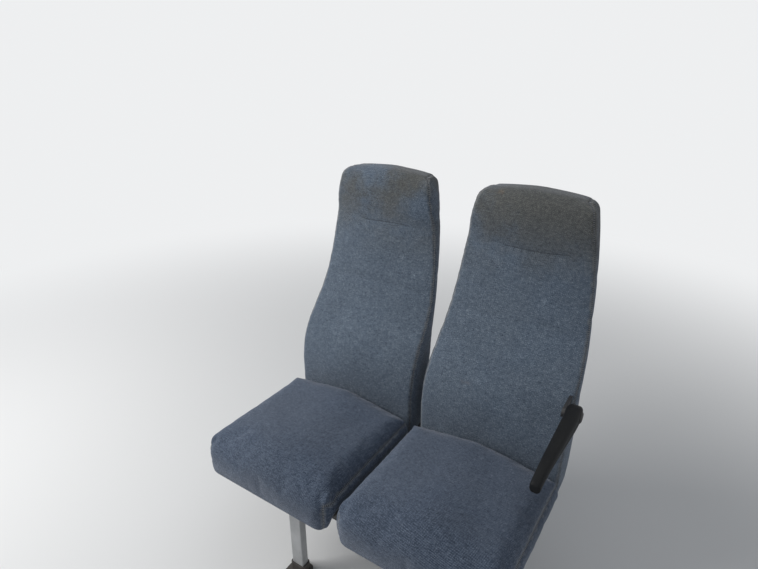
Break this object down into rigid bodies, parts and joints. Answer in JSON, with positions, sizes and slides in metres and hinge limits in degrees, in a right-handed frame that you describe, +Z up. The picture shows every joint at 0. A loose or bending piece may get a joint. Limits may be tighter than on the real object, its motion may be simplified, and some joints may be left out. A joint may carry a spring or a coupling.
{
  "type": "double passenger seat of a small bus",
  "caption": "Double bus seat with two tapered high backs, two cushions, a flip-up aisle armrest and a tube frame on legs that bolt to the floor.",
  "frame": {"origin": "on the floor, at the centre of the rectangle of four floor bolts", "axes": "+Z up, -Y the way the sitter faces, +X towards the aisle side that has the armrest"},
  "size_m": [0.8988, 0.6667, 1.105],
  "materials": {
    "seat_fabric": "grey-blue tweed weave of light and dark threads, lightly soiled",
    "black_painted_steel": "black powder coat, satin",
    "silver_painted_steel": "silver-grey paint, satin, scuffed",
    "black_plastic": "moulded, fine grain",
    "charcoal_plastic": "moulded armrest skin, fine grain, scratched"
  },
  "bodies": {
    "seat": {"back_pad_window": "seat_fabric", "back_pad_aisle": "seat_fabric", "seat_cushion_window": "seat_fabric", "seat_cushion_aisle": "seat_fabric", "front_rail": "black_painted_steel", "rear_rail": "black_painted_steel", "side_rail_window_left": "black_painted_steel", "side_rail_window_right": "black_painted_steel", "side_rail_aisle_left": "black_painted_steel", "side_rail_aisle_right": "black_painted_steel", "foot_front_window": "black_painted_steel", "foot_rear_window": "black_painted_steel", "foot_front_aisle": "black_painted_steel", "foot_rear_aisle": "black_painted_steel", "back_frame_window": "black_painted_steel", "back_frame_aisle": "black_painted_steel", "armrest_pivot": "black_painted_steel", "leg_front_window": "silver_painted_steel", "leg_rear_window": "silver_painted_steel", "leg_front_aisle": "silver_painted_steel", "leg_rear_aisle": "silver_painted_steel", "seat_base_window": "black_plastic", "seat_base_aisle": "black_plastic", "rail_cap_front_window": "black_plastic", "rail_cap_front_aisle": "black_plastic", "rail_cap_rear_window": "black_plastic", "rail_cap_rear_aisle": "black_plastic"},
    "armrest_bar": {"armrest": "charcoal_plastic"}
  },
  "joints": [
    {"name": "armrest_hinge", "type": "hinge", "parent": "seat", "child": "armrest_bar", "pos_m": [0.4365, 0.124, 0.626], "axis": [-1, 0, 0], "range_deg": [0, 100]}
  ]
}
